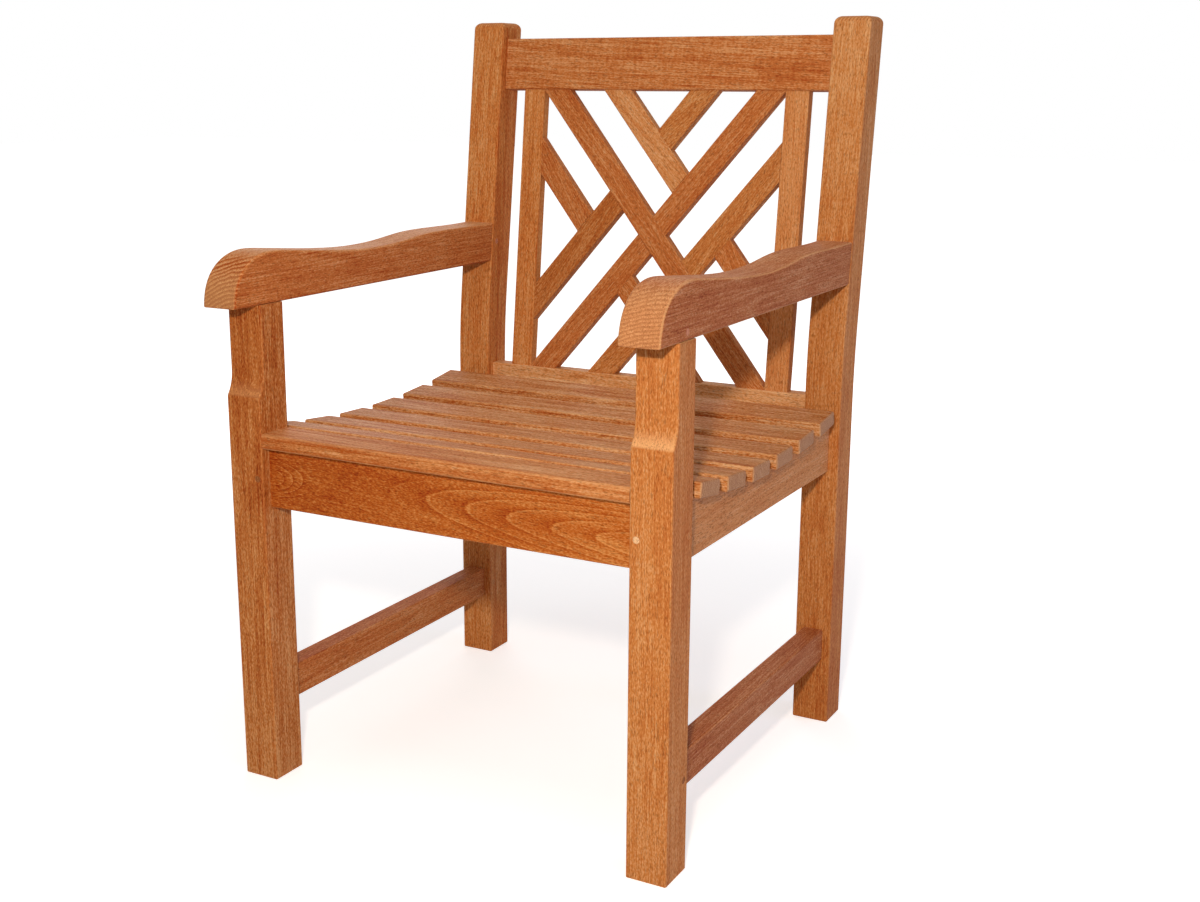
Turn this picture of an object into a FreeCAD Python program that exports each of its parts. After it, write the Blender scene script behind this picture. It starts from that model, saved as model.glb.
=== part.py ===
import FreeCAD, Part
import math
import os

from FreeCAD import Placement, Rotation, Vector

# A joined teak dining armchair: four legs, a dished slatted seat, a lattice back and two shaped arms.
# x runs across the chair, y from front to back and z up. Lengths are millimetres, angles are degrees.
# While the pieces are made, y is measured from the front faces of the front legs.

# Frame
height = 915.0              # floor to the tops of the back posts
width = 578.0               # over the outer faces of the legs
member = 48.5               # width of the legs, and both sides of the posts
leg_depth = 50.0            # front legs from front to back
post_front = 498.5          # front faces of the posts at the seat
post_rake = 7.0             # lean of the posts above the seat
post_bend = 490.0           # height where the lean starts
post_bend_radius = 900.0    # curve that eases the lean into the upright part
post_top_round = 9.0        # round-over at the tops of the posts
edge_round = 2.0            # round-over along the legs and posts
foot_chamfer = 1.0

# Hollow that thins the front legs below the arms
hollow_depth = 9.5
hollow_bottom = 477.0
hollow_top = 508.0
hollow_lip_radius = 8.0

# Arms, given by the side view of the upper edge from under the nose to inside the post
arm_width = 47.0
arm_round = 3.0             # round-over along both sides
arm_bottom = 587.0
nose_foot = -33.0           # lower front corner of the rolled nose
nose_round = 1.0            # round-over along that corner
arm_top = [(nose_foot, arm_bottom), (-32.2, 596.0), (-29.6, 607.0), (-23.0, 620.5), (-6.0, 636.5),
           (26.0, 647.0), (60.0, 646.0), (130.0, 639.0), (235.0, 632.5), (300.0, 635.0), (350.0, 639.5),
           (410.0, 640.5), (530.0, 641.0)]

# Rails and stretchers
rail = 22.0                 # thickness, set in the middle of the legs and posts
rail_round = 2.0
seat_rail_bottom = 346.0
back_rail_top = 441.0
back_rail_height = 70.0
top_rail_top = 895.0
top_rail_height = 69.0
stretcher = 27.0            # thickness, in the middle of the legs and posts
stretcher_bottom = 87.5
stretcher_height = 42.0

# Seat
seat_height = 437.0         # top of the front slat
slat_width = 50.0
slat_thickness = 18.0
slat_overhang = 0.5         # slat ends beyond the outer faces of the legs
slat_round = 2.5
front_slat_round = 4.0
dished_slats = 6            # slats behind the front one
first_slat_middle = 92.0
slat_pitch = 72.0
seat_dish = 20.4            # depth of the hollow in the side rails
slat_seat = 0.6             # depth of the flat seats cut in that hollow for the slats

# Lattice back, a flat panel between the back rail and the top rail
lattice_thickness = 15.0
lattice_reveal = 2.5        # panel front behind the front faces of the rails
lattice_bar = 32.0          # width of stiles and bars
stile_outer = 210.0         # outer edges of the stiles from the middle of the chair
lattice_angle = 50.5        # bars against the level
lattice_spacing = 94.0      # between parallel bars, measured level
lattice_round = 1.2
rail_spare = 10.0           # height left on a bar inside a rail before its end is cut to fit
stile_spare = 14.0          # the same inside a stile, measured level

# Joints
tenon = 10.0                # thickness of the rail tenons
tenon_shoulder = 10.0       # step above and below a rail tenon
cross_tenon = 17.0          # length of the tenons that point across the chair
long_tenon = 28.0           # length of the tenons that point along the chair
stretcher_shoulder = 6.0
arm_tenon = 24.0            # width and length of the tenons on the arms and under them
arm_tenon_depth = 22.0
arm_tenon_root = 2.0        # overlap that joins the rear tenon to its arm
peg = 8.0                   # diameter of the pegs that lock the tenons
peg_inset = 8.0             # peg middle from the shoulder of its tenon
side_peg_inset = 9.0
arm_peg_rise = 9.0          # arm peg above the underside of the arm
peg_past_tenon = 6.0        # blind end of a peg beyond its tenon
stile_tenon = 14.0          # length of the tenons on the stiles
stile_tenon_width = 20.0
stile_tenon_thickness = 8.0
lattice_dowel = 6.0
lattice_dowel_length = 24.0
plug = 10.0                 # diameter of the wooden plugs over the slat screws
plug_depth = 5.0
screw = 4.0
screw_head = 8.0
screw_head_height = 3.0
screw_in_rail = 25.0
front_screw_spacing = 160.0

# Limits for picking edges
near = 0.1                  # positions closer than this count as the same
long_share = 0.9            # an edge this close to the longest one counts as long

# Values that follow from the sizes above
outer = width / 2
inner = outer - member
middle = (outer + inner) / 2
rail_inset = (member - rail) / 2
rake_slope = math.tan(math.radians(post_rake))
post_thickness_level = member / math.cos(math.radians(post_rake))
back_rail_bottom = back_rail_top - back_rail_height
top_rail_bottom = top_rail_top - top_rail_height
slat_underside = seat_height - slat_thickness
seat_rail_middle = (seat_rail_bottom + slat_underside) / 2
seat_middle = (leg_depth + post_front) / 2
half_side = (post_front - leg_depth) / 2
dish_radius = (half_side ** 2 + seat_dish ** 2) / (2 * seat_dish)
dish_bottom = slat_underside - seat_dish
dish_centre = dish_bottom + dish_radius
peg_length = member / 2 + tenon / 2 + peg_past_tenon
arm_peg_length = arm_width / 2 + arm_tenon / 2 + peg_past_tenon
leg_top_middle = (hollow_depth + leg_depth) / 2
arm_outer = middle + arm_width / 2
arm_inner = middle - arm_width / 2
arm_rear_middle = (arm_bottom + arm_top[-1][1]) / 2


def post_face(z):
    """Front of a post at a height above the bend."""
    return post_front + rake_slope * (z - post_bend)


# Helpers
def block(x_range, y_range, z_range):
    corner = Vector(x_range[0], y_range[0], z_range[0])
    return Part.makeBox(x_range[1] - x_range[0], y_range[1] - y_range[0], z_range[1] - z_range[0], corner)


def around(centre, size):
    """Range of a given size around a centre."""
    return (centre - size / 2, centre + size / 2)


def side_view(edges, x_start, x_length):
    """Solid with the given outline in the side view."""
    face = Part.Face(Part.Wire(Part.__sortEdges__(edges)))
    solid = face.extrude(Vector(x_length, 0, 0))
    solid.translate(Vector(x_start, 0, 0))
    return solid


def line(start, end):
    return Part.LineSegment(Vector(0, *start), Vector(0, *end)).toShape()


def arc(start, through, end):
    return Part.Arc(Vector(0, *start), Vector(0, *through), Vector(0, *end)).toShape()


def arc_travel(radius, angle):
    """How far back and how far up an arc goes that sets out upright and turns by an angle."""
    return radius * (1 - math.cos(angle)), radius * math.sin(angle)


def ease(solid, radius, wanted):
    """Rounds the wanted edges."""
    return solid.makeFillet(radius, [edge for edge in solid.Edges if wanted(edge)])


def ease_long(solid, radius):
    """Rounds the long edges of a bar."""
    longest = max(edge.Length for edge in solid.Edges)
    return ease(solid, radius, lambda edge: edge.Length > long_share * longest)


def chamfer_foot(solid):
    rim = [edge for edge in solid.Edges if edge.BoundBox.ZMax < near]
    return solid.makeChamfer(foot_chamfer, rim)


def peg_along(axis, start, length=peg_length):
    return Part.makeCylinder(peg / 2, length, start, axis)


def mirrored(solids):
    return [solid.mirror(Vector(0, 0, 0), Vector(1, 0, 0)) for solid in solids]


def both_sides(right):
    """The right-hand piece and its mirror image."""
    return {"right": right, "left": mirrored([right])[0]}


def placed(shape, place):
    shape.Placement = place.multiply(shape.Placement)
    return shape


# Legs and posts
def leg_blank():
    """Front leg: square below, thinned by a hollow on its front face below the arm."""
    turn = 2 * math.atan2(hollow_depth, hollow_top - hollow_bottom)
    sweep_radius = (hollow_top - hollow_bottom) / math.sin(turn) - hollow_lip_radius
    lip_back, lip_up = arc_travel(hollow_lip_radius, turn / 2)
    meet_back, meet_up = arc_travel(hollow_lip_radius, turn)
    sweep_back, sweep_up = arc_travel(sweep_radius, turn / 2)
    start = (0, hollow_bottom)
    meet = (meet_back, hollow_bottom + meet_up)
    end = (hollow_depth, hollow_top)
    outline = [line((0, 0), start),
               arc(start, (lip_back, hollow_bottom + lip_up), meet),
               arc(meet, (hollow_depth - sweep_back, hollow_top - sweep_up), end),
               line(end, (hollow_depth, arm_bottom)),
               line((hollow_depth, arm_bottom), (leg_depth, arm_bottom)),
               line((leg_depth, arm_bottom), (leg_depth, 0)),
               line((leg_depth, 0), (0, 0))]

    def upright(edge):
        return edge.BoundBox.XLength < near and near < edge.BoundBox.Center.z < arm_bottom - near

    return chamfer_foot(ease(side_view(outline, inner, member), edge_round, upright))


def bend_arc(y, bend_z, radius):
    """Start, middle and end of the curve between the upright line at y and the leaning line above it."""
    rake = math.radians(post_rake)
    start_z = bend_z - radius * math.tan(rake / 2)
    half_back, half_up = arc_travel(radius, rake / 2)
    full_back, full_up = arc_travel(radius, rake)
    return (y, start_z), (y + half_back, start_z + half_up), (y + full_back, start_z + full_up)


def post_outline():
    back_bend = post_bend - member * math.tan(math.radians(post_rake / 2))
    front = bend_arc(post_front, post_bend, post_bend_radius + member)
    back = bend_arc(post_front + member, back_bend, post_bend_radius)
    top_front = (post_face(height), height)
    top_back = (post_face(height) + post_thickness_level, height)
    return [line((post_front, 0), front[0]), arc(*front), line(front[2], top_front),
            line(top_front, top_back), line(top_back, back[2]), arc(*reversed(back)),
            line(back[0], (post_front + member, 0)), line((post_front + member, 0), (post_front, 0))]


def post_sharp():
    return side_view(post_outline(), inner, member)


def post_blank():
    """Back post: upright to the seat, then leaning back."""
    blank = ease(post_sharp(), post_top_round, lambda edge: edge.BoundBox.ZMin > height - near)

    def upright(edge):
        return edge.BoundBox.XLength < near and edge.BoundBox.ZLength > near

    return chamfer_foot(ease(blank, edge_round, upright))


# Arms
def arm_blank():
    """Arm: flat underside, rolled nose, shallow dip for the elbow and a rise towards the post."""
    upper = Part.BSplineCurve()
    upper.interpolate([Vector(0, y, z) for y, z in arm_top])
    rear = arm_top[-1]
    outline = [upper.toShape(), line(rear, (rear[0], arm_bottom)), line((rear[0], arm_bottom), arm_top[0])]

    def under_nose(edge):
        return edge.BoundBox.ZMax < arm_bottom + near and edge.BoundBox.Center.y < nose_foot + near

    def along_side(edge):
        return edge.BoundBox.XLength < near and edge.BoundBox.Center.y < rear[0] - near

    nosed = ease(side_view(outline, arm_inner, arm_width), nose_round, under_nose)
    return ease(nosed, arm_round, along_side).cut(post_sharp())


def arm_rear_tenon():
    y_range = (post_face(arm_bottom) - arm_tenon_root, post_face(arm_rear_middle) + arm_tenon)
    return block(around(middle, arm_tenon_depth), y_range, around(arm_rear_middle, arm_tenon))


def leg_top_tenon():
    return block(around(middle, arm_tenon), around(leg_top_middle, arm_tenon_depth),
                 (arm_bottom, arm_bottom + arm_tenon))


# Rails and stretchers
def cross_bar(y_front, z_range):
    """Sharp-edged rail between the inner faces of the two legs or posts whose front is at y_front."""
    return block((-inner, inner), around(y_front + member / 2, rail), z_range)


def cross_tenon_core(y_front, z_range):
    """One long core whose two ends are the tenons of a rail across the chair."""
    return block((-inner - cross_tenon, inner + cross_tenon), around(y_front + member / 2, tenon),
                 (z_range[0] + tenon_shoulder, z_range[1] - tenon_shoulder))


def lean(shape):
    """Turns a level piece to the rake of the posts about the post face at the top of the top rail."""
    shape.rotate(Vector(0, post_face(top_rail_top), top_rail_top), Vector(1, 0, 0), -post_rake)
    return shape


def long_tenon_core(z_range):
    return block(around(middle, tenon), (leg_depth - long_tenon, post_front + long_tenon), z_range)


def side_rail_blank():
    """Seat rail with a hollow upper edge that carries the slats."""
    front_top = (leg_depth, slat_underside)
    back_top = (post_front, slat_underside)
    front_low = (leg_depth, seat_rail_bottom)
    back_low = (post_front, seat_rail_bottom)
    outline = [line(front_low, front_top), arc(front_top, (seat_middle, dish_bottom), back_top),
               line(back_top, back_low), line(back_low, front_low)]
    return ease_long(side_view(outline, inner + rail_inset, rail), rail_round)


def stretcher_blank():
    bar = block(around(middle, stretcher), (leg_depth, post_front),
                (stretcher_bottom, stretcher_bottom + stretcher_height))
    return ease_long(bar, rail_round)


# Pegs that lock the tenons, right-hand side
def front_rail_peg():
    return peg_along(Vector(0, 1, 0), Vector(inner + peg_inset, 0, seat_rail_middle))


def side_pegs(z):
    """Pegs of one lengthwise member: from outside in the leg, from inside in the post."""
    in_leg = peg_along(Vector(-1, 0, 0), Vector(outer, leg_depth - side_peg_inset, z))
    in_post = peg_along(Vector(1, 0, 0), Vector(inner, post_front + side_peg_inset, z))
    return [in_leg, in_post]


def back_pegs():
    """Pegs of the two rails between the posts, put in from behind."""
    x = inner + peg_inset
    low_z = (back_rail_bottom + back_rail_top) / 2
    high_z = (top_rail_bottom + top_rail_top) / 2
    low = peg_along(Vector(0, -1, 0), Vector(x, post_front + member, low_z))
    high = peg_along(Vector(0, -1, 0), Vector(x, post_face(top_rail_top) + member, high_z))
    return [low, lean(high)]


def arm_pegs():
    leg_start = Vector(arm_outer, leg_top_middle, arm_bottom + arm_peg_rise)
    post_start = Vector(inner, post_face(arm_rear_middle) + arm_tenon / 2, arm_rear_middle)
    return [peg_along(Vector(-1, 0, 0), leg_start, arm_peg_length),
            peg_along(Vector(1, 0, 0), post_start, arm_peg_length)]


# Seat slats, each made level with the middle of its underside at the origin, then set in the hollow
def slat_blank():
    bar = block(around(0, width + 2 * slat_overhang), around(0, slat_width), (0, slat_thickness))
    return bar.makeFillet(slat_round, bar.Edges)


def front_slat_blank():
    bar = block((-inner, inner), around(0, slat_width), (0, slat_thickness))
    return ease_long(bar, front_slat_round)


def slat_screw(x):
    shank_top = slat_thickness - plug_depth - screw_head_height
    shank = Part.makeCylinder(screw / 2, screw_in_rail + shank_top, Vector(x, 0, -screw_in_rail))
    head = Part.makeCone(screw / 2, screw_head / 2, screw_head_height, Vector(x, 0, shank_top))
    return shank.fuse(head)


def slat_plug(x):
    return Part.makeCylinder(plug / 2, plug_depth, Vector(x, 0, slat_thickness - plug_depth))


def front_slat_place():
    return Placement(Vector(0, slat_width / 2, slat_underside), Rotation())


def slat_place(number):
    """Where a dished slat lies: a little below the hollow's curve, turned to the slope there."""
    y = first_slat_middle + slat_pitch * number
    radius = dish_radius + slat_seat
    slope = math.asin((y - seat_middle) / radius)
    z = dish_centre - radius * math.cos(slope)
    return Placement(Vector(0, y, z), Rotation(Vector(1, 0, 0), math.degrees(slope)))


def slat_seats():
    """Sharp-edged blocks that cut the flat seats of the dished slats."""
    seats = []
    for number in range(dished_slats):
        sharp = block(around(0, width), around(0, slat_width), (0, slat_thickness))
        seats.append(placed(sharp, slat_place(number)))
    return seats


def seat():
    """All slats from the front, with the screws and plugs that hold them."""
    slats = [placed(front_slat_blank(), front_slat_place())]
    holds = [(front_slat_place(), x) for x in (-front_screw_spacing, 0, front_screw_spacing)]
    for number in range(dished_slats):
        slats.append(placed(slat_blank(), slat_place(number)))
        holds += [(slat_place(number), -middle), (slat_place(number), middle)]
    screws = [placed(slat_screw(x), place) for place, x in holds]
    plugs = [placed(slat_plug(x), place) for place, x in holds]
    return slats, screws, plugs


# Lattice, made in its own plane: x across, y up the panel from its middle, z towards the front
panel_foot = Vector(0, post_front + rail_inset + lattice_reveal, back_rail_top)
panel_head = Vector(0, post_face(top_rail_bottom) + rail_inset + lattice_reveal, top_rail_bottom)
panel_lean = math.degrees(math.atan2(panel_head.y - panel_foot.y, panel_head.z - panel_foot.z))
panel_place = Placement((panel_foot + panel_head) * 0.5, Rotation(Vector(1, 0, 0), 90 - panel_lean))
half_panel = (panel_head - panel_foot).Length / 2
panel_core = -lattice_thickness / 2
stile_inner = stile_outer - lattice_bar
cot = 1 / math.tan(math.radians(lattice_angle))
half_grid = lattice_spacing / (2 * cot)
reach_rail = half_panel + rail_spare
reach_stile = (stile_inner + stile_spare - lattice_spacing) / cot

# Each bar: which way it slopes, its line in the grid, and the heights of its two ends on that line
lattice_bars = {
    "falling_main": (-1, 0, reach_rail, -reach_rail),
    "falling_upper": (-1, 1, reach_rail, half_grid),
    "falling_left": (-1, -1, reach_stile, 0),
    "falling_right": (-1, 1, 0, -reach_stile),
    "falling_lower": (-1, -1, -half_grid, -reach_rail),
    "rising_main": (1, 0, -reach_rail, reach_rail),
    "rising_upper": (1, -1, 2 * half_grid, reach_rail),
    "rising_left": (1, -1, -reach_stile, half_grid),
    "rising_right": (1, 1, -half_grid, reach_stile),
    "rising_lower": (1, 1, -reach_rail, -2 * half_grid),
}
# The bar that each shorter bar is fitted against
fitted_to = {
    "falling_upper": "rising_main", "falling_lower": "rising_main",
    "falling_left": "rising_left", "falling_right": "rising_right",
    "rising_upper": "falling_upper", "rising_lower": "falling_lower",
    "rising_left": "falling_main", "rising_right": "falling_main",
}


def on_bar(name, y):
    """Point on the middle line of a bar at a height in the panel."""
    slope, grid_line = lattice_bars[name][:2]
    return Vector(grid_line * lattice_spacing + slope * cot * y, y, 0)


def bar_blank(name, z_range=(-lattice_thickness, 0)):
    start = on_bar(name, lattice_bars[name][2])
    end = on_bar(name, lattice_bars[name][3])
    bar = block((0, (end - start).Length), around(0, lattice_bar), z_range)
    angle = math.degrees(math.atan2(end.y - start.y, end.x - start.x))
    return placed(bar, Placement(start, Rotation(Vector(0, 0, 1), angle)))


def bar_ends(name):
    """Heights in the panel at which the two fitted ends of a bar lie."""
    half_cross = math.radians(lattice_angle)
    step = lattice_bar / 2 * math.sin(half_cross) / math.sin(2 * half_cross)
    fitted = {reach_rail: half_panel, reach_stile: (stile_inner - lattice_spacing) / cot}
    start, end = lattice_bars[name][2:]
    heights = []
    for this_end, other_end in ((start, end), (end, start)):
        if abs(this_end) in fitted:
            heights.append(math.copysign(fitted[abs(this_end)], this_end))
        else:
            heights.append(this_end + math.copysign(step, other_end - this_end))
    return heights


def lattice_dowels():
    """Dowels that hold both ends of every bar."""
    dowels = []
    for name in lattice_bars:
        along = Vector(lattice_bars[name][0] * cot, 1, 0).normalize()
        for y in bar_ends(name):
            start = on_bar(name, y) - along * (lattice_dowel_length / 2) + Vector(0, 0, panel_core)
            dowel = Part.makeCylinder(lattice_dowel / 2, lattice_dowel_length, start, along)
            dowels.append(placed(dowel, panel_place))
    return dowels


def stile_sharp():
    return block((stile_inner, stile_outer), (-reach_rail, reach_rail), (-lattice_thickness, 0))


def stile_tenon_core():
    """Core of the right-hand stile, whose two ends are its tenons."""
    core = block(around((stile_inner + stile_outer) / 2, stile_tenon_width),
                 around(0, 2 * (half_panel + stile_tenon)), around(panel_core, stile_tenon_thickness))
    return placed(core, panel_place)


def lattice_stiles(rails):
    stile = placed(ease_long(stile_sharp(), lattice_round), panel_place).cut(rails)
    return both_sides(stile.fuse(stile_tenon_core()))


def lattice_bar_pieces(rails):
    """Bars cut to meet the rails, the stiles and each other, the two main ones halved where they cross."""
    stile = placed(stile_sharp(), panel_place)
    neighbours = rails + [stile] + mirrored([stile])
    halving = {
        "falling_main": bar_blank("rising_main", (-lattice_thickness, panel_core)),
        "rising_main": bar_blank("falling_main", (panel_core, 0)),
    }
    pieces = {}
    for name in lattice_bars:
        bar = placed(ease_long(bar_blank(name), lattice_round), panel_place).cut(neighbours)
        other = halving[name] if name in halving else bar_blank(fitted_to[name])
        pieces[name] = bar.cut(placed(other, panel_place))
    return pieces


# Assembly
def build():
    parts = {}
    seat_rail_range = (seat_rail_bottom, slat_underside)
    back_rail_range = (back_rail_bottom, back_rail_top)
    top_rail_range = (top_rail_bottom, top_rail_top)
    top_rail_front = post_face(top_rail_top)

    front_rail = ease_long(cross_bar(0, seat_rail_range), rail_round)
    back_rail = ease_long(cross_bar(post_front, back_rail_range), rail_round)
    top_rail = lean(ease_long(cross_bar(top_rail_front, top_rail_range), rail_round))
    front_tenons = cross_tenon_core(0, seat_rail_range)
    back_tenons = cross_tenon_core(post_front, back_rail_range)
    top_tenons = lean(cross_tenon_core(top_rail_front, top_rail_range))
    side_tenons = long_tenon_core((seat_rail_bottom + tenon_shoulder, dish_bottom - tenon_shoulder))
    stretcher_tenons = long_tenon_core((stretcher_bottom + stretcher_shoulder,
                                        stretcher_bottom + stretcher_height - stretcher_shoulder))

    pegs = {"front_rail_pegs": [front_rail_peg()],
            "side_rail_pegs": side_pegs(seat_rail_middle),
            "stretcher_pegs": side_pegs(stretcher_bottom + stretcher_height / 2),
            "back_rail_pegs": back_pegs(),
            "arm_pegs": arm_pegs()}
    right_pegs = [pin for group in pegs.values() for pin in group]
    all_pegs = right_pegs + mirrored(right_pegs)
    for name, group in pegs.items():
        parts[name] = Part.makeCompound(group + mirrored(group))

    slats, screws, plugs = seat()
    for number, slat in enumerate(slats, start=1):
        parts["seat_slat_" + str(number)] = slat.cut(screws + plugs)
    parts["slat_screws"] = Part.makeCompound(screws)
    parts["slat_plugs"] = Part.makeCompound(plugs)

    leg = leg_blank().fuse(leg_top_tenon()).cut([front_tenons, side_tenons, stretcher_tenons] + right_pegs)
    post_holes = [back_tenons, top_tenons, side_tenons, stretcher_tenons, arm_rear_tenon()]
    pairs = {"front_leg": leg,
             "back_post": post_blank().cut(post_holes + right_pegs),
             "armrest": arm_blank().fuse(arm_rear_tenon()).cut([leg_top_tenon()] + right_pegs),
             "side_seat_rail": side_rail_blank().cut(slat_seats()).fuse(side_tenons).cut(screws + right_pegs),
             "side_stretcher": stretcher_blank().fuse(stretcher_tenons).cut(right_pegs)}
    for name, right in pairs.items():
        for side, solid in both_sides(right).items():
            parts[name + "_" + side] = solid

    dowels = lattice_dowels()
    back_rails = [cross_bar(post_front, back_rail_range), lean(cross_bar(top_rail_front, top_rail_range))]
    for side, stile in lattice_stiles(back_rails).items():
        parts["lattice_stile_" + side] = stile.cut(dowels)
    for name, bar in lattice_bar_pieces(back_rails).items():
        parts["lattice_" + name] = bar.cut(dowels)
    parts["lattice_dowels"] = Part.makeCompound(dowels)

    lattice_holes = dowels + [stile_tenon_core()] + mirrored([stile_tenon_core()])
    parts["front_seat_rail"] = front_rail.fuse(front_tenons).cut(screws + all_pegs)
    parts["back_seat_rail"] = back_rail.fuse(back_tenons).cut(lattice_holes + all_pegs)
    parts["back_top_rail"] = top_rail.fuse(top_tenons).cut(lattice_holes + all_pegs)
    return parts


def depth_middle(parts):
    """Middle of the chair between its foremost and its rearmost point."""
    front = min(shape.BoundBox.YMin for shape in parts.values())
    back = max(shape.BoundBox.YMax for shape in parts.values())
    return (front + back) / 2


# The origin lies on the floor under the middle of the chair
os.makedirs("parts", exist_ok=True)
chair = build()
middle_y = depth_middle(chair)
print("middle of the chair behind the leg fronts", round(middle_y, 3))
for node, shape in chair.items():
    shape.translate(Vector(0, -middle_y, 0))
    print(node, "solids", len(shape.Solids), "volume", round(shape.Volume), "valid", shape.isValid())
    shape.exportStep("parts/" + node + ".step")
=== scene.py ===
# %% [markdown]
# # A teak armchair with a lattice back
# The chair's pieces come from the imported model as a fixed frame, at their real size and in their real
# place. This lesson gives them the look of sanded teak, eases the rims of the pegs, and sets up a small
# photo studio. Nothing of the frame is moved, so the joints stay as they were built.

# %% Load the frame
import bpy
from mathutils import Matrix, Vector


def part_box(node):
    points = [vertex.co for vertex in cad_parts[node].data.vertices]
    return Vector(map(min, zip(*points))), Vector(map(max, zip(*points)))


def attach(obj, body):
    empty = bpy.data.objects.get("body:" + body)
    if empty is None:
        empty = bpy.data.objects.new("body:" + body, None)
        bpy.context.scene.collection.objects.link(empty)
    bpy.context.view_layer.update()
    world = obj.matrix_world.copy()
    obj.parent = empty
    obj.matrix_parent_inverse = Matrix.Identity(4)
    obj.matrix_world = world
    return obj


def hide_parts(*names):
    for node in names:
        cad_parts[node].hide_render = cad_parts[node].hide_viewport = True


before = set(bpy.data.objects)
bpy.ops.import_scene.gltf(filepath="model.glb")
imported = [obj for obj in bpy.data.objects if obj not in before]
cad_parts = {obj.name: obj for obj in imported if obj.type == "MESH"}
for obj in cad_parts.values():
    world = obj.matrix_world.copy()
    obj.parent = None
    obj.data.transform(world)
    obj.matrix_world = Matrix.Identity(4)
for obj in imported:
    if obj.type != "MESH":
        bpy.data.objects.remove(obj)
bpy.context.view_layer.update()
print("nodes in the frame:", len(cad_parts))

# %% Modules
import math
import random

import bmesh
import bpy
import numpy as np
from mathutils import Matrix, Vector

scene = bpy.context.scene
MM = 0.001

# %% [markdown]
# ## Two small helpers
# Colours are easiest to pick as sRGB hex values, but shaders work in linear light, so one function converts
# them. A node tree is a lot of typing, so another adds a node, sets its options, fills or links its sockets
# and places the stops of a colour ramp.

# %% Colour and node helpers
def linear(hex_colour):
    """A hex colour in linear light, by the curve of the sRGB standard, and fully opaque."""
    channels = [int(hex_colour[i:i + 2], 16) / 255 for i in (1, 3, 5)]
    return [c / 12.92 if c <= 0.04045 else ((c + 0.055) / 1.055) ** 2.4 for c in channels] + [1.0]


def add(tree, kind, sockets=None, stops=None, **options):
    """A new node with options set, and with sockets set to values or linked to other sockets.

    The stops of a ramp are pairs of a position and a grey level or a linear colour.
    """
    made = tree.nodes.new(kind)
    for option, value in options.items():
        setattr(made, option, value)
    for socket, value in (sockets or {}).items():
        if isinstance(value, bpy.types.NodeSocket):
            tree.links.new(value, made.inputs[socket])
        else:
            made.inputs[socket].default_value = value
    if stops:
        elements = made.color_ramp.elements
        while len(elements) < len(stops):
            elements.new(0.5)       # the loop below gives it its place
        for element, (at, level) in zip(elements, stops):
            element.position = at
            element.color = [level] * 3 + [1.0] if isinstance(level, float) else level
    return made


print("one linear colour:", [round(c, 3) for c in linear("#C07840")])

# %% [markdown]
# ## Which way the grain runs
# A joiner cuts every piece so that the grain runs along it. The direction is measured on the mesh: it is
# the axis along which the surface spreads most, found from the faces' middles weighted by their areas. Two
# more axes, level and square to the grain, complete a small frame for each board. All patterns below are
# drawn in that frame, in millimetres, so one recipe fits legs, slats and slanting bars.

# %% Board frames
UPRIGHT = 0.2       # a grain whose level part is shorter than this counts as upright


def long_axis(node):
    """The direction in which a node's surface spreads most, with its largest part positive."""
    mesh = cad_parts[node].data
    areas = np.array([face.area for face in mesh.polygons])
    middles = np.array([face.center[:] for face in mesh.polygons])
    spread = middles - np.average(middles, axis=0, weights=areas)
    values, axes = np.linalg.eigh((spread * areas[:, None]).T @ spread)
    grain = Vector(axes[:, np.argmax(values)])
    return grain if max(grain) > -min(grain) else -grain


def board_frame(node, grain=None):
    """The middle of a piece and the turn that puts X along its grain and Y level across it."""
    grain = Vector(grain or long_axis(node))
    level = Vector((0, 0, 1)).cross(grain)
    across = level.normalized() if level.length > UPRIGHT else Vector((1, 0, 0))
    upward = grain.cross(across).normalized()
    across = upward.cross(grain)
    low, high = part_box(node)
    return (low + high) / 2, Matrix((grain, across, upward)).transposed().to_euler()


middle, turn = board_frame("lattice_falling_main")
print("main lattice bar turned by", [round(math.degrees(angle), 1) for angle in turn])

# %% [markdown]
# ## Teak, drawn through the whole board
# Teak is a ring-porous hardwood. A tree lays down one ring a year around its pith, so a board is cut from
# nested tubes. Drawing those tubes in space, instead of lines on a face, gives straight lines on a
# quarter-sawn face, arches on a flat-sawn face and curved rings on the ends, all joined at the edges as in
# real wood. The pith lies outside most boards, at a distance that differs from board to board.

# %% Shades of teak
HONEY, AMBER, GOLD, FAWN, TAWNY = "#BF793F", "#BB6F38", "#CB8850", "#C4824C", "#C67C3F"
COPPER, RUSSET, CHESTNUT = "#B1672F", "#AF5C1F", "#AA6235"
CUT_FIBRE = "#CF9660"
# How far a face looks along the grain, from 0 to 1, where cut fibres start to show and show in full
SLANT, SQUARE = (0.14, 0.6), (0.5, 1.0)
print("cut fibres in linear light:", [round(c, 3) for c in linear(CUT_FIBRE)])

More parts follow.
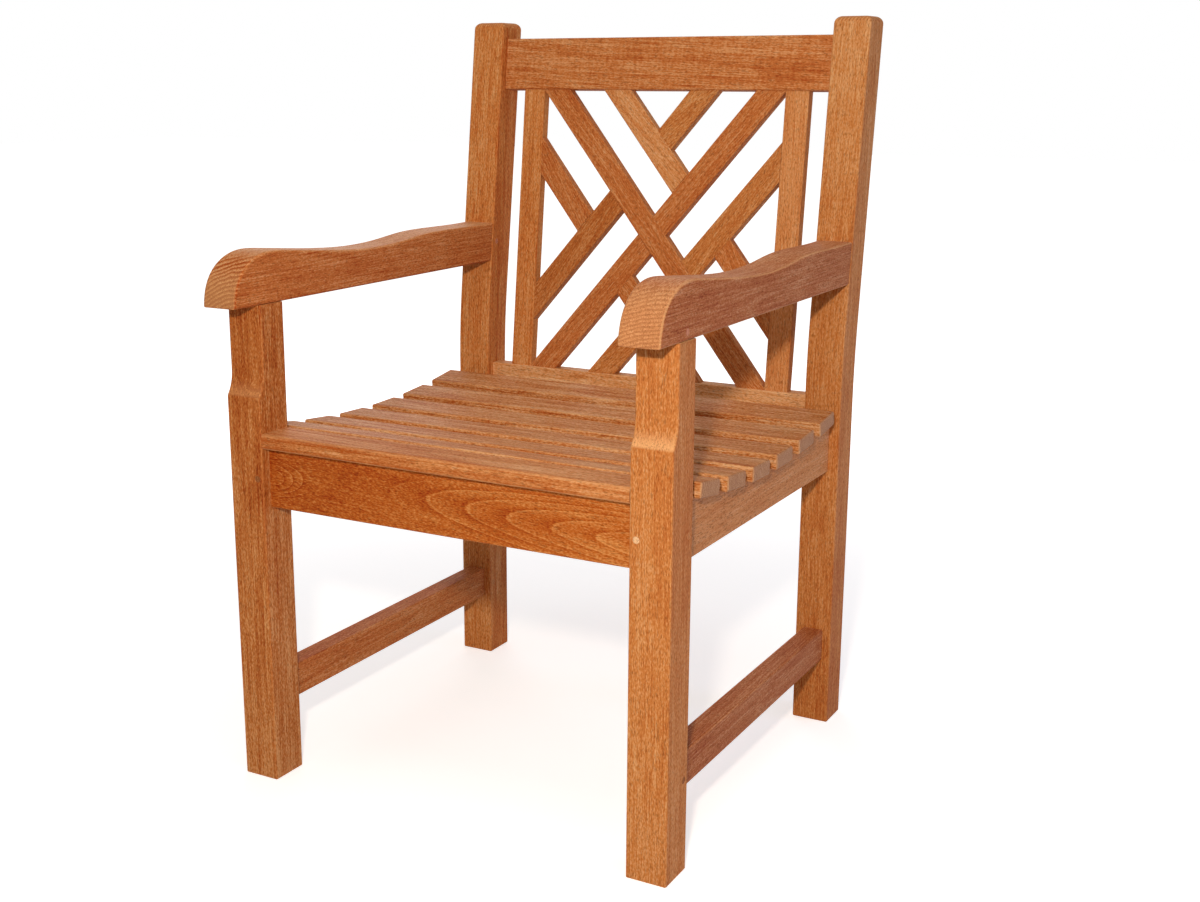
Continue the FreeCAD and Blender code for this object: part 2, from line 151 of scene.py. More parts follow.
# %% A plain board
PLAIN_BOARD = {
    "grain": None,          # direction of the grain; None measures it
    "shade": AMBER,         # middle colour
    "cut": (CUT_FIBRE, 0.4, SLANT),     # colour of cut fibres, its share, and which faces show it
    "streak": 1.0,          # strength of fine lengthwise lines, above 0
    "fleck": 1.3,           # strength of short flecks, above 0
    "band": 0.5,            # strength of wide lengthwise bands
    "patch": 1.0,           # strength of patches
    "ripple": 0.0,          # strength of bars across the grain
    "lines": 1.0,           # strength of the rings
    "drift": 0.0,           # how much deeper the colour gets over 100 mm along the grain
    "face": (0.0, 0.0),     # painted shade: how much deeper, or paler, on faces that look across and up
    "wear_and_highlight": 0.05,           # share of a paler colour on eased edges: wear and painted highlight
    "pith": None,           # mm across and up from the board's middle; None leaves it to chance
    "tilt": None,           # slant of the pith along the board; None leaves it to chance
    "ring": None,           # width of a year in mm; None leaves it to chance
    "wander": 2.2,          # how many years a ring strays from a true circle
    "reach": None,          # mm from the pith within which rings show; None shows all
    "knot": None,           # place, half sizes and height in mm of a bulge in the rings
}
print("settings of a board:", len(PLAIN_BOARD))

# %% One board's wood
RING_WIDTHS = (3.4, 4.8)        # mm
PITH_ACROSS = (60, 140)         # mm to either side
PITH_UP = (-40, 40)             # mm
TILTS = (-0.02, 0.02)
SHIFTS = (0, 900)               # places in the noise, a range so wide that no two boards look alike


def board(node, **own):
    """A node's wood: the plain board's settings, its own, its frame, and what is left to chance."""
    wood = {**PLAIN_BOARD, **own, "node": node}
    wood["middle"], wood["turn"] = board_frame(node, wood["grain"])
    draw = random.Random(node)
    side = draw.choice((-1, 1))
    wood["ring"] = wood["ring"] or draw.uniform(*RING_WIDTHS)
    wood["shift"] = draw.uniform(*SHIFTS)
    if wood["tilt"] is None:
        wood["tilt"] = draw.uniform(*TILTS)
    wood["pith"] = wood["pith"] or (side * draw.uniform(*PITH_ACROSS), draw.uniform(*PITH_UP))
    return wood


print("a year of the top rail in mm:", round(board("back_top_rail")["ring"], 2))

# %% Where a point lies in its board
SPOT_PARTS = (1, 3, 7)      # what a board's shift is divided by along, across and up


def board_place(tree, wood):
    """Sockets for the place in the board in mm, and for the surface direction in the board's axes."""
    where = add(tree, "ShaderNodeTexCoord").outputs
    place = add(tree, "ShaderNodeMapping", {"Vector": where["Object"], "Location": wood["middle"],
                                            "Rotation": wood["turn"], "Scale": (MM, MM, MM)},
                vector_type="TEXTURE")
    facing = add(tree, "ShaderNodeMapping", {"Vector": where["Normal"], "Rotation": wood["turn"]},
                 vector_type="TEXTURE")
    return place.outputs[0], facing.outputs[0]


def stretched(tree, place, wood, size):
    """The place divided by a feature's size along and across the grain, moved to the board's own spot."""
    along, across = size
    scale = (1 / along, 1 / across, 1 / across)
    spot = [wood["shift"] / part for part in SPOT_PARTS]
    moved = add(tree, "ShaderNodeVectorMath", {0: place, 1: scale, 2: spot}, operation="MULTIPLY_ADD")
    return moved.outputs[0]


print("middle of the top rail in mm:", [round(c / MM) for c in board("back_top_rail")["middle"]])

# %% [markdown]
# ## Rings, fibres, pores and patches
# Four things make the figure. A ring shows as a thin pale line with a dark inner side that fades slowly.
# Fibres give fine lengthwise streaks. Pores are short dark dashes; real ones are about 0.3 mm wide, too
# fine for the render, so they are drawn about 1 mm wide. Patches are slow changes of colour from heartwood
# that dried unevenly.

# %% Fibres and pores
FINE_SHARE = 0.6                    # how strongly each finer layer of a noise shows
PORE_SIZE = (6.0, 1.1)              # mm along and across the grain
PORE_DETAIL = 1.0
PORE_FROM, PORE_FULL = 0.55, 0.68   # levels of the noise where a pore starts and where it is full


def streaks(tree, place, wood, size, detail):
    """Noise of a size along and across the grain, with finer layers as the detail says."""
    where = stretched(tree, place, wood, size)
    return add(tree, "ShaderNodeTexNoise", {"Vector": where, "Scale": 1.0, "Detail": detail,
                                            "Roughness": FINE_SHARE}).outputs[0]


def pores(tree, place, wood):
    """A mask for the pores."""
    noise = streaks(tree, place, wood, PORE_SIZE, PORE_DETAIL)
    return add(tree, "ShaderNodeMapRange", {"Value": noise, "From Min": PORE_FROM, "From Max": PORE_FULL},
               interpolation_type="SMOOTHSTEP").outputs[0]


print("pores drawn in mm, along and across the grain:", PORE_SIZE)

# %% A bulge beside a knot
def bulge(tree, place, wood):
    """A smooth hump in the rings, as beside a knot, in mm."""
    at, half, height = wood["knot"]
    scale = [1 / size for size in half]
    start = [-middle / size for middle, size in zip(at, half)]
    offset = add(tree, "ShaderNodeVectorMath", {0: place, 1: scale, 2: start}, operation="MULTIPLY_ADD")
    square = add(tree, "ShaderNodeVectorMath", {0: offset.outputs[0], 1: offset.outputs[0]},
                 operation="DOT_PRODUCT")
    # A bell curve: e to the power of minus the square
    fall = add(tree, "ShaderNodeMath", {0: math.exp(-1), 1: square.outputs["Value"]}, operation="POWER")
    return add(tree, "ShaderNodeMath", {0: fall.outputs[0], 1: height}, operation="MULTIPLY").outputs[0]


print("share of a bulge's height at its half size:", round(math.exp(-1), 2))

# %% Distance from the pith
STRAY_SIZE = (330.0, 30.0)  # mm along and across the grain over which a ring strays
STRAY_DETAIL = 2.0
KNOT_PULL = 2.0             # how much further a knot brings the rings around it within reach


def weighted(tree, base, parts):
    """A number plus each part times its weight."""
    total = base
    for part, weight in parts:
        step = add(tree, "ShaderNodeMath", {0: part, 1: weight, 2: total}, operation="MULTIPLY_ADD")
        total = step.outputs[0]
    return total


def pith_distance(tree, place, wood):
    """Sockets for the distance in mm that sets the rings, and for the one that sets whether they show."""
    parts = add(tree, "ShaderNodeSeparateXYZ", {0: place}).outputs
    depth = weighted(tree, parts[1], [(parts[0], wood["tilt"])])
    cut_place = add(tree, "ShaderNodeCombineXYZ", {1: depth, 2: parts[2]}).outputs[0]
    radius = add(tree, "ShaderNodeVectorMath", {0: cut_place, 1: (0, *wood["pith"])}, operation="DISTANCE")
    stray = streaks(tree, place, wood, STRAY_SIZE, STRAY_DETAIL)
    distance = weighted(tree, radius.outputs["Value"], [(stray, wood["wander"] * wood["ring"])])
    if not wood["knot"]:
        return distance, distance
    hump = bulge(tree, place, wood)
    distance = weighted(tree, distance, [(hump, 1.0)])
    return distance, weighted(tree, distance, [(hump, KNOT_PULL)])


print("rings stray over", STRAY_SIZE[0], "mm along the grain")

# %% Growth rings
# Stops of a part of a year and how deep the wood is there
YEAR = ((0.0, 0.0), (0.07, 0.0), (0.14, 1.0), (0.5, 0.55), (0.9, 0.45), (1.0, 0.3))
LATEWOOD = ((0.0, 0.0), (0.3, 0.0), (0.55, 1.0), (0.75, 1.0), (0.95, 0.0))
YEAR_MEAN = 0.55            # mean depth over a year
FADE = 6.0                  # mm over which rings fade past their reach
FADED = 0.15                # what is left of them beyond


def within_reach(tree, year, shown, reach):
    """Ring lines that fade towards their mean past a distance from the pith."""
    near = add(tree, "ShaderNodeMapRange", {"Value": shown, "From Min": reach, "From Max": reach + FADE,
                                            "To Min": 1.0, "To Max": FADED}).outputs[0]
    change = weighted(tree, -YEAR_MEAN, [(year, 1.0)])
    return weighted(tree, YEAR_MEAN, [(change, near)])


def rings(tree, place, wood):
    """Sockets for the ring lines on long faces and for the dark latewood lines on ends."""
    distance, shown = pith_distance(tree, place, wood)
    years = add(tree, "ShaderNodeMath", {0: distance, 1: wood["ring"]}, operation="DIVIDE").outputs[0]
    part_of_year = add(tree, "ShaderNodeMath", {0: years}, operation="FRACT").outputs[0]
    year = add(tree, "ShaderNodeValToRGB", {0: part_of_year}, YEAR).outputs[0]
    if wood["reach"]:
        year = within_reach(tree, year, shown, wood["reach"])
    return year, add(tree, "ShaderNodeValToRGB", {0: part_of_year}, LATEWOOD).outputs[0]


print("stops of a year:", len(YEAR), "and of its latewood:", len(LATEWOOD))

# %% [markdown]
# ## From figure to finish
# All patterns are added into one number that walks along a ramp from pale to deep wood. A deeper colour is
# the same stain in a thicker layer, so each channel of the middle colour is raised to a power: blue fades
# first, then green, and the dark wood gets redder, not greyer. Edges that hands and sandpaper have eased
# are painted a little paler, partly as wear and partly as a painted highlight where the rounding catches
# the lamps, and faces that cut across the fibres are paler too. Some boards also get painted shade, deeper
# or paler by which way a face looks. Sanded teak is nearly matt, with a roughness of about 0.65.

# %% Edges and ends
EDGE_SPAN = (0.06, 0.24)    # of a measure that is 0 on flat faces and 0.25 halfway round a long edge


def edges_and_ends(tree, facing, cut_span):
    """Masks for eased long edges, for ends and for cut fibres, from where the surface faces."""
    parts = add(tree, "ShaderNodeSeparateXYZ", {0: facing}).outputs
    square = add(tree, "ShaderNodeMath", {0: parts[1], 1: parts[1]}, operation="MULTIPLY").outputs[0]
    rest = add(tree, "ShaderNodeMath", {0: 1.0, 1: square}, operation="SUBTRACT").outputs[0]
    both = add(tree, "ShaderNodeMath", {0: square, 1: rest}, operation="MULTIPLY").outputs[0]
    along = add(tree, "ShaderNodeMath", {0: parts[0]}, operation="ABSOLUTE").outputs[0]
    masks = []
    for value, (start, full) in ((both, EDGE_SPAN), (along, SLANT), (along, cut_span)):
        mask = add(tree, "ShaderNodeMapRange", {"Value": value, "From Min": start, "From Max": full},
                   interpolation_type="SMOOTHSTEP")
        masks.append(mask.outputs[0])
    return masks


print("cut fibres start to show at", round(math.degrees(math.asin(SLANT[0]))), "degrees to the grain")

# %% Figure
# Size in mm along and across the grain, finer layers and weight of each noise in the figure
FIGURE = {
    "streak": ((55.0, 1.7), 2.0, 0.9),
    "fleck": ((3.8, 1.5), 1.0, 0.85),
    "band": ((220.0, 7.0), 3.0, 1.0),
    "patch": ((110.0, 40.0), 2.0, 0.45),
    "ripple": ((4.5, 22.0), 1.0, 1.0),
}
HALF = 0.5                  # the mean of each noise, and where the ramp has the middle colour
RING_WEIGHT, END_WEIGHT = 0.22, 0.8
DRIFT_LENGTH = 100.0        # mm along the grain over which a board's drift counts once


def figure_noises(tree, place, wood):
    """The noises of the figure by name, without those that the board has at no strength."""
    return {name: streaks(tree, place, wood, size, detail)
            for name, (size, detail, weight) in FIGURE.items() if wood[name]}


def depth_of_colour(tree, wood, place, facing, noises, end):
    """One number from pale to deep wood: noises, rings, place along the grain and painted face shade."""
    parts = [(noises[name], weight * wood[name])
             for name, (size, detail, weight) in FIGURE.items() if name in noises]
    ring_weight = RING_WEIGHT * wood["lines"]
    base = HALF - HALF * sum(weight for noise, weight in parts) - YEAR_MEAN * ring_weight
    year, latewood = rings(tree, place, wood)
    end_line = add(tree, "ShaderNodeMath", {0: latewood, 1: end}, operation="MULTIPLY").outputs[0]
    along = add(tree, "ShaderNodeSeparateXYZ", {0: place}).outputs[0]
    looks = add(tree, "ShaderNodeSeparateXYZ", {0: facing}).outputs
    parts += [(year, ring_weight), (end_line, END_WEIGHT * wood["lines"])]
    parts += [(along, wood["drift"] / DRIFT_LENGTH)]
    # painted shade and light: deeper or paler by which way the face looks across and up
    parts += [(looks[1], wood["face"][0]), (looks[2], wood["face"][1])]
    return weighted(tree, base, parts)


print("noises in the figure:", ", ".join(FIGURE))

# %% Teak colours
STAIN = ((0.0, 0.6), (0.5, 1.0), (1.0, 1.65))   # stops of the ramp and thickness of the stain there
# eased edges painted paler: partly wear, partly a painted highlight where the rounding catches the lamps
EDGE_WEAR_AND_HIGHLIGHT = "#E0AF7C"
PORE = "#5A2C12"
PORE_SHARE = 0.45
MIX_FACTOR, MIX_A, MIX_B, MIX_RESULT = 0, 6, 7, 2   # colour sockets of a Mix node


def shades(hex_colour):
    """Stops from the palest to the deepest wood of one board."""
    middle = linear(hex_colour)[:3]
    return [(at, [c ** thickness for c in middle] + [1.0]) for at, thickness in STAIN]


def blend(tree, mask, share, first, second):
    """The first colour with a share of the second where the mask is 1."""
    factor = add(tree, "ShaderNodeMath", {0: mask, 1: share}, operation="MULTIPLY").outputs[0]
    return add(tree, "ShaderNodeMix", {MIX_FACTOR: factor, MIX_A: first, MIX_B: linear(second)},
               data_type="RGBA").outputs[MIX_RESULT]


def teak_colour(tree, wood, depth, edge, cut, pore):
    """Base colour from the depth of colour, with cut ends, pores, wear and painted highlight on edges."""
    cut_colour, cut_share = wood["cut"][:2]
    colour = add(tree, "ShaderNodeValToRGB", {0: depth}, shades(wood["shade"])).outputs[0]
    colour = blend(tree, cut, cut_share, colour, cut_colour)
    colour = blend(tree, pore, PORE_SHARE, colour, PORE)
    # edges paler as wear and as painted highlight
    return blend(tree, edge, wood["wear_and_highlight"], colour, EDGE_WEAR_AND_HIGHLIGHT)


print("palest and deepest amber:", [[round(c, 3) for c in shades(AMBER)[i][1]] for i in (0, -1)])

# %% Teak surface
ROUGHNESS, PORE_ROUGHNESS, STREAK_ROUGHNESS, END_ROUGHNESS = 0.56, 0.15, 0.16, 0.1
STREAK_HEIGHT, FLECK_HEIGHT, PORE_HEIGHT = 1.0, 0.6, -0.8
BUMP_STRENGTH, BUMP_DEPTH = 0.35, 0.25 * MM
TEAK_IOR, TEAK_MIRROR = 1.5, 0.1


def teak_surface(tree, shader, noises, pore, end):
    """Sets how rough and uneven the wood is and how much it mirrors."""
    streak, fleck = noises["streak"], noises["fleck"]
    rough = weighted(tree, ROUGHNESS, ((pore, PORE_ROUGHNESS), (streak, STREAK_ROUGHNESS),
                                       (end, END_ROUGHNESS)))
    tree.links.new(rough, shader.inputs["Roughness"])
    height = weighted(tree, 0.0, ((streak, STREAK_HEIGHT), (fleck, FLECK_HEIGHT), (pore, PORE_HEIGHT)))
    bump = add(tree, "ShaderNodeBump", {"Height": height, "Strength": BUMP_STRENGTH,
                                        "Distance": BUMP_DEPTH})
    tree.links.new(bump.outputs[0], shader.inputs["Normal"])
    shader.inputs["IOR"].default_value = TEAK_IOR
    shader.inputs["Specular IOR Level"].default_value = TEAK_MIRROR


print("deepest bump in mm:", BUMP_DEPTH / MM)

# %% Teak material
def teak(wood):
    """A material of sanded teak for one board."""
    material = bpy.data.materials.new("sanded_teak_" + wood["node"])
    material.use_nodes = True
    tree = material.node_tree
    shader = tree.nodes["Principled BSDF"]
    place, facing = board_place(tree, wood)
    edge, end, cut = edges_and_ends(tree, facing, wood["cut"][2])
    pore = pores(tree, place, wood)
    noises = figure_noises(tree, place, wood)
    depth = depth_of_colour(tree, wood, place, facing, noises, end)
    tree.links.new(teak_colour(tree, wood, depth, edge, cut, pore), shader.inputs["Base Color"])
    teak_surface(tree, shader, noises, pore, end)
    return material


print("made the recipe for teak")

# %% [markdown]
# ## Each board's own colour
# Boards from one tree still differ, so each piece gets one of eight shades, and those with a figure of
# their own get a pith and a ring width to make it. The front rail is flat-sawn: its pith slants up to the
# front face near the right leg, so the rings there close into nested arches, and a knot at its left end
# bends the rings round.

# %% Choose the woods
# the right leg's pale cut fibres are partly real and partly a painted highlight on the hollow's upward
# slope
RIGHT_LEG_CUT_AND_HIGHLIGHT = ("#E8B47E", 0.75, SLANT)
LEFT_LEG_CUT = ("#D89A62", 0.6, SLANT)
RIGHT_ARM_CUT = ("#D8A874", 0.34, SLANT)
LEFT_ARM_CUT = ("#C09868", 0.46, SQUARE)
SLAT_CUT = ("#B08C6A", 0.6, SLANT)
KNOT = ((-240.0, 0.0, -15.0), (44.0, 400.0, 26.0), -28.0)
SLAT = {"shade": FAWN, "cut": SLAT_CUT, "wear_and_highlight": 0.2, "band": 1.5, "streak": 1.7, "fleck": 1.8}
WOODS = {node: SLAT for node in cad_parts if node.startswith("seat_slat_")}
WOODS.update({
    "seat_slat_1": {**SLAT, "streak": 1.2, "fleck": 1.2, "drift": -0.03, "face": (-0.21, 0.06)},
    "front_leg_right": {"shade": HONEY, "cut": RIGHT_LEG_CUT_AND_HIGHLIGHT, "lines": 0.5, "drift": 0.015,
                        "face": (0.05, 0.0)},
    "front_leg_left": {"shade": COPPER, "cut": LEFT_LEG_CUT, "streak": 1.2, "fleck": 1.6, "band": 1.0,
                       "lines": 0.8, "pith": (19.0, 2.0), "tilt": 0.03, "drift": 0.055,
                       "face": (-0.06, 0.0)},
    "back_post_right": {"shade": HONEY, "fleck": 1.1, "drift": -0.03, "face": (0.08, 0.02)},
    "back_post_left": {"shade": TAWNY, "streak": 1.2, "band": 0.8, "face": (0.14, 0.0)},
    "armrest_right": {"shade": CHESTNUT, "cut": RIGHT_ARM_CUT, "streak": 1.2, "fleck": 1.2,
                      "pith": (-30.0, -150.0), "ring": 3.8, "lines": 0.6, "wander": 1.4, "wear_and_highlight": 0.32,
                      "face": (0.0, -0.18)},
    "armrest_left": {"cut": LEFT_ARM_CUT, "streak": 1.2, "fleck": 1.2, "pith": (-45.0, -130.0),
                     "ring": 4.6, "lines": 0.9, "wear_and_highlight": 0.0, "face": (0.0, -0.26)},
    "front_seat_rail": {"shade": RUSSET, "pith": (29.2, 3.0), "tilt": 0.1, "ring": 5.4, "wander": 0.6,
                        "reach": 45.5, "lines": 2.1, "streak": 0.5, "fleck": 1.6, "drift": -0.06,
                        "knot": KNOT},
    "back_top_rail": {"ripple": 0.5, "streak": 1.3, "fleck": 1.2, "face": (0.05, 0.0)},
    "back_seat_rail": {"shade": GOLD, "face": (0.14, -0.1)},
    "side_stretcher_left": {"face": (0.0, 0.06)},
    "side_stretcher_right": {"shade": CHESTNUT},
    "side_seat_rail_right": {"shade": FAWN, "lines": 0.4, "streak": 0.7, "fleck": 0.7},
    "side_seat_rail_left": {"shade": CHESTNUT, "lines": 0.4},
    "lattice_stile_right": {"shade": GOLD, "fleck": 1.0},
    "lattice_stile_left": {"shade": TAWNY},
    "lattice_falling_upper": {"shade": GOLD},
    "lattice_rising_right": {"shade": HONEY},
    "lattice_rising_left": {"shade": COPPER},
    "lattice_rising_upper": {"shade": HONEY},
    "lattice_rising_lower": {"shade": HONEY},
    "slat_plugs": {"shade": FAWN, "grain": (1, 0, 0)},
    "lattice_dowels": {"shade": HONEY, "grain": (0, 0, 1)},
})
print("boards with a wood of their own:", len(WOODS))

# %% Finish the boards
PALE_END = ("#E9C69C", 0.75, SLANT)
DARK_END = ("#8A5A34", 0.7, SLANT)
PINK_END = ("#CC9078", 0.6, SLANT)
PEGS = {
    "front_rail_pegs": {"grain": (0, 1, 0), "shade": GOLD, "cut": PALE_END},
    "side_rail_pegs": {"grain": (1, 0, 0), "shade": HONEY},
    "stretcher_pegs": {"grain": (1, 0, 0), "shade": CHESTNUT, "cut": DARK_END},
    "back_rail_pegs": {"grain": (0, 1, 0), "shade": HONEY},
    "arm_pegs": {"grain": (1, 0, 0), "shade": HONEY, "cut": PINK_END},
}
boards = [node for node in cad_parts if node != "slat_screws" and node not in PEGS]
for node in boards:
    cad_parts[node].data.materials[0] = teak(board(node, **WOODS.get(node, {})))
print("pieces finished in teak:", len(boards))

# %% [markdown]
# ## Pegs with eased rims
# Each tenon is locked by a round peg whose end is cut flush with the face. Sanding rounds its rim a little,
# and that fine groove is what the eye sees as a peg. A ring of shade could be painted on the face, but a
# real groove also shows at other angles. So each group of pegs is copied, its triangles are merged, and the
# rims are bevelled. The ends show cut fibres: the peg in the front of the right leg is pale, those of the
# left leg and of the stretchers in the front legs are dark, those of the arms are pinkish, and the others
# are honey-coloured like the right post.

# %% Ease the pegs
RIM = 0.6 * MM
RIM_ANGLE = math.radians(60)        # edges sharper than this are rims
FLAT_ANGLE = math.radians(1)        # triangles that meet flatter than this are merged
SAME_PLACE = 0.01 * MM


def eased_pegs(node):
    """A copy of a group of pegs with rounded rims, which stands for the group."""
    shape = bmesh.new()
    shape.from_mesh(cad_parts[node].data)
    bmesh.ops.remove_doubles(shape, verts=shape.verts, dist=SAME_PLACE)
    bmesh.ops.dissolve_limit(shape, angle_limit=FLAT_ANGLE, verts=shape.verts, edges=shape.edges)
    rims = [edge for edge in shape.edges if edge.is_manifold and edge.calc_face_angle() > RIM_ANGLE]
    bmesh.ops.bevel(shape, geom=rims, offset=RIM, affect="EDGES", segments=2, profile=0.5, material=-1)
    mesh = bpy.data.meshes.new("eased_" + node)
    shape.to_mesh(mesh)
    shape.free()
    piece = bpy.data.objects.new("eased_" + node, mesh)
    scene.collection.objects.link(piece)
    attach(piece, "root")
    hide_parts(node)
    return piece


for node, wood in PEGS.items():
    piece = eased_pegs(node)
    piece.data.materials.append(teak(board(node, **wood)))
    print(piece.name, "faces:", len(piece.data.polygons))

# %% Pegs that differ within their group
def second_wood(piece_name, material, chosen):
    """Gives a second material to the faces of a piece whose middle a test chooses."""
    mesh = bpy.data.objects[piece_name].data
    mesh.materials.append(material)
    for face in mesh.polygons:
        face.material_index = 1 if chosen(face.center) else 0
    print(piece_name, "faces in a second wood:", sum(face.material_index for face in mesh.polygons))


dark_peg = teak(board("front_rail_pegs", grain=(0, 1, 0), shade=CHESTNUT, cut=DARK_END))
second_wood("eased_front_rail_pegs", dark_peg, lambda middle: middle.x < 0)
post_peg = teak(board("stretcher_pegs", grain=(1, 0, 0), shade=HONEY))
second_wood("eased_stretcher_pegs", post_peg, lambda middle: middle.y > 0)

# %% [markdown]
# ## Brass screws
# The slats are held from above by brass screws under plugs, so nobody sees them until the chair is taken
# apart. Turned brass has fine rings from the lathe and a brown tarnish in patches, so it shines in thin
# bands and is duller where it is brown. Both are drawn here as noises.

# %% Finish the screws
# Levels of the tarnish noise with the colours of clean and of tarnished brass
BRASS = ((0.35, linear("#C9A558")), (0.75, linear("#7A5A2C")))
LATHE_RING, TARNISH_PATCH = 0.4 * MM, 3.0 * MM
BRASS_ROUGHNESS, LATHE_ROUGHNESS, TARNISH_ROUGHNESS = 0.15, 0.2, 0.25


def turned_brass():
    """A material of brass with rings from the lathe along Z and patches of tarnish."""
    material = bpy.data.materials.new("turned_brass")
    material.use_nodes = True
    tree = material.node_tree
    shader = tree.nodes["Principled BSDF"]
    where = add(tree, "ShaderNodeTexCoord").outputs["Object"]
    lathe_place = add(tree, "ShaderNodeMapping", {"Vector": where, "Scale": (0, 0, 1 / LATHE_RING)})
    lathe = add(tree, "ShaderNodeTexNoise", {"Vector": lathe_place.outputs[0], "Scale": 1.0}).outputs[0]
    tarnish = add(tree, "ShaderNodeTexNoise", {"Vector": where, "Scale": 1 / TARNISH_PATCH}).outputs[0]
    colour = add(tree, "ShaderNodeValToRGB", {0: tarnish}, BRASS).outputs[0]
    tree.links.new(colour, shader.inputs["Base Color"])
    rough = weighted(tree, BRASS_ROUGHNESS, ((lathe, LATHE_ROUGHNESS), (tarnish, TARNISH_ROUGHNESS)))
    tree.links.new(rough, shader.inputs["Roughness"])
    shader.inputs["Metallic"].default_value = 1.0
    return material


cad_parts["slat_screws"].data.materials[0] = turned_brass()
print("screws finished in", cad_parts["slat_screws"].data.materials[0].name)

# %% [markdown]
# ## A small studio
# The chair stands on white paper. The main lamp is a small soft one just above the camera, so shadows are
# short and fall below what casts them. A large panel overhead, weak ones low on the left and behind the
# chair, a cool one low on the right and the bright surroundings fill the shadows. Paper and surroundings
# glow white only for the camera and for mirror-like rays, so that the picture gets a white background
# without more light on the chair.

# %% Seen by the eye
def seen(tree):
    """1 for rays from the camera and for mirrored or refracted ones, and 0 for rays that carry light."""
    path = add(tree, "ShaderNodeLightPath").outputs
    mirrored = add(tree, "ShaderNodeMath", {0: path["Is Glossy Ray"], 1: path["Is Transmission Ray"]},
                   operation="MAXIMUM")
    return add(tree, "ShaderNodeMath", {0: path["Is Camera Ray"], 1: mirrored.outputs[0]},
               operation="MAXIMUM").outputs[0]


print("made the test for rays that the eye sees")

# %% Floor
FLOOR_SIZE = 30.0                   # metres
FLOOR_GLOW = 0.55                   # how white the paper glows around the chair, where 1 is white
WHITE_FROM, WHITE_TO = 0.7, 2.2     # metres from the chair between which the glow rises to full white
PAPER = "#E6E6E6"


def white_paper():
    """A material of matt paper that glows for the eye, more so away from the chair."""
    material = bpy.data.materials.new("white_paper")
    material.use_nodes = True
    tree = material.node_tree
    tree.nodes.clear()
    where = add(tree, "ShaderNodeTexCoord").outputs["Object"]
    away = add(tree, "ShaderNodeVectorMath", {0: where}, operation="LENGTH").outputs["Value"]
    share = add(tree, "ShaderNodeMapRange", {"Value": away, "From Min": WHITE_FROM, "From Max": WHITE_TO,
                                             "To Min": FLOOR_GLOW}, interpolation_type="SMOOTHSTEP")
    glow = add(tree, "ShaderNodeMath", {0: seen(tree), 1: share.outputs[0]}, operation="MULTIPLY")
    paper = add(tree, "ShaderNodeBsdfDiffuse", {"Color": linear(PAPER)})
    light = add(tree, "ShaderNodeEmission", {"Strength": glow.outputs[0]})
    both = add(tree, "ShaderNodeAddShader", {0: paper.outputs[0], 1: light.outputs[0]})
    add(tree, "ShaderNodeOutputMaterial", {"Surface": both.outputs[0]})
    return material


floor_shape = bmesh.new()
bmesh.ops.create_grid(floor_shape, x_segments=1, y_segments=1, size=FLOOR_SIZE / 2)
floor_mesh = bpy.data.meshes.new("studio_floor")
floor_shape.to_mesh(floor_mesh)
floor_shape.free()
floor_mesh.materials.append(white_paper())
floor = bpy.data.objects.new("studio_floor", floor_mesh)
scene.collection.objects.link(floor)
print("floor size in m:", FLOOR_SIZE)

# %% World
AMBIENT = 0.22
FILL, WHITE = linear("#FFF0E2"), linear("#FFFFFF")
world = bpy.data.worlds.new("pale_studio")
scene.world = world
world.use_nodes = True
air = world.node_tree
eye = seen(air)
glow = add(air, "ShaderNodeMapRange", {"Value": eye, "To Min": AMBIENT, "To Max": 1.0})
colour = add(air, "ShaderNodeMix", {MIX_FACTOR: eye, MIX_A: FILL, MIX_B: WHITE}, data_type="RGBA")
background = air.nodes["Background"]
air.links.new(colour.outputs[MIX_RESULT], background.inputs["Color"])
air.links.new(glow.outputs[0], background.inputs["Strength"])
print("light from all around:", AMBIENT)

# %% Lamps
AIM = Vector((0.0, 0.0, 0.45))
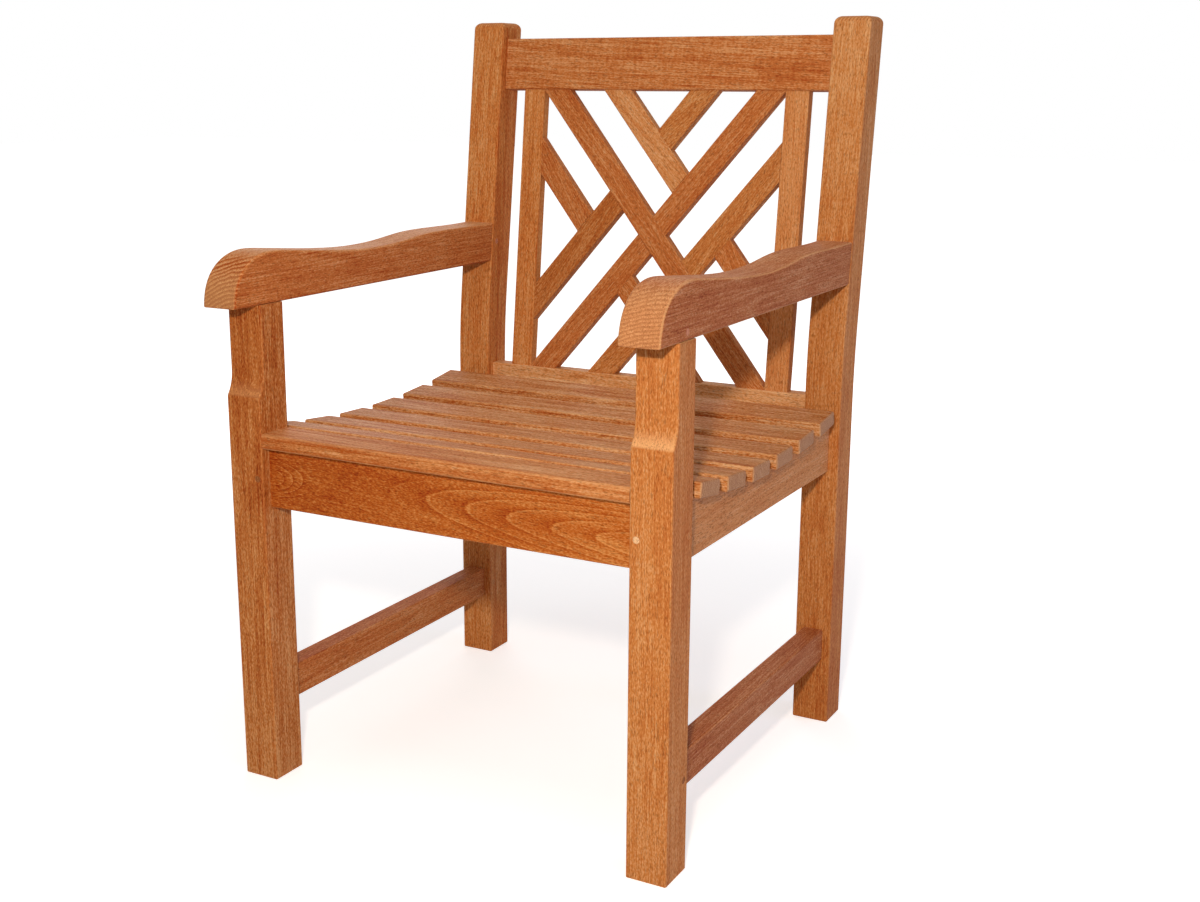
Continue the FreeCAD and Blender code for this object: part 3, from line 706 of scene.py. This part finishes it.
# Name, azimuth and elevation in degrees, distance and size in metres, level and colour
LAMPS = (
    ("main_lamp", 26.0, 20.0, 1.95, 0.1, 0.65, "#FFF1DE"),
    ("low_panel", -20.0, 4.0, 2.2, 1.4, 0.03, "#FFEBD4"),
    ("rim_panel", 110.0, -6.0, 1.6, 0.5, 0.24, "#A9C1FF"),
    ("sky_panel", 30.0, 78.0, 2.4, 2.0, 0.38, "#E9F0FA"),
    ("back_panel", 215.0, 20.0, 2.6, 1.8, 0.26, "#F4F4FA"),
)


def soft_lamp(name, azimuth, elevation, distance, size, level, colour):
    """A round lamp that lights a facing surface at the aim point to a level, where 1 shows its colour."""
    around, up = math.radians(azimuth), math.radians(elevation)
    away = Vector((math.sin(around) * math.cos(up), -math.cos(around) * math.cos(up), math.sin(up)))
    lamp = bpy.data.lights.new(name, "AREA")
    lamp.shape = "DISK"
    lamp.size = size
    lamp.energy = level * (math.pi * distance) ** 2
    lamp.color = linear(colour)[:3]
    holder = bpy.data.objects.new(name, lamp)
    holder.location = AIM + away * distance
    holder.rotation_euler = away.to_track_quat("Z", "Y").to_euler()
    holder.visible_camera = False
    scene.collection.objects.link(holder)


for settings in LAMPS:
    soft_lamp(*settings)

# %% [markdown]
# ## The camera
# The camera's place was worked out from the chair's straight edges in the photograph. The lens is a short
# telephoto of 46 mm, and a small shift puts the chair left of the middle as in the photograph.

# %% Camera
CAMERA_PLACE = Vector((0.9159, -1.6247, 0.8421))
CAMERA_TARGET = Vector((0.0171, -0.0327, 0.3916))
SENSOR_WIDTH, LENS_LENGTH = 36.0, 45.96     # mm
LENS_SHIFT = (0.0342, 0.0024)
lens = bpy.data.cameras.new("camera")
lens.sensor_width = SENSOR_WIDTH
lens.lens = LENS_LENGTH
lens.shift_x, lens.shift_y = LENS_SHIFT
camera = bpy.data.objects.new("camera", lens)
camera.location = CAMERA_PLACE
camera.rotation_euler = (CAMERA_PLACE - CAMERA_TARGET).to_track_quat("Z", "Y").to_euler()
scene.collection.objects.link(camera)
scene.camera = camera
scene.view_settings.view_transform = "Standard"
print("camera at", [round(value, 3) for value in CAMERA_PLACE])
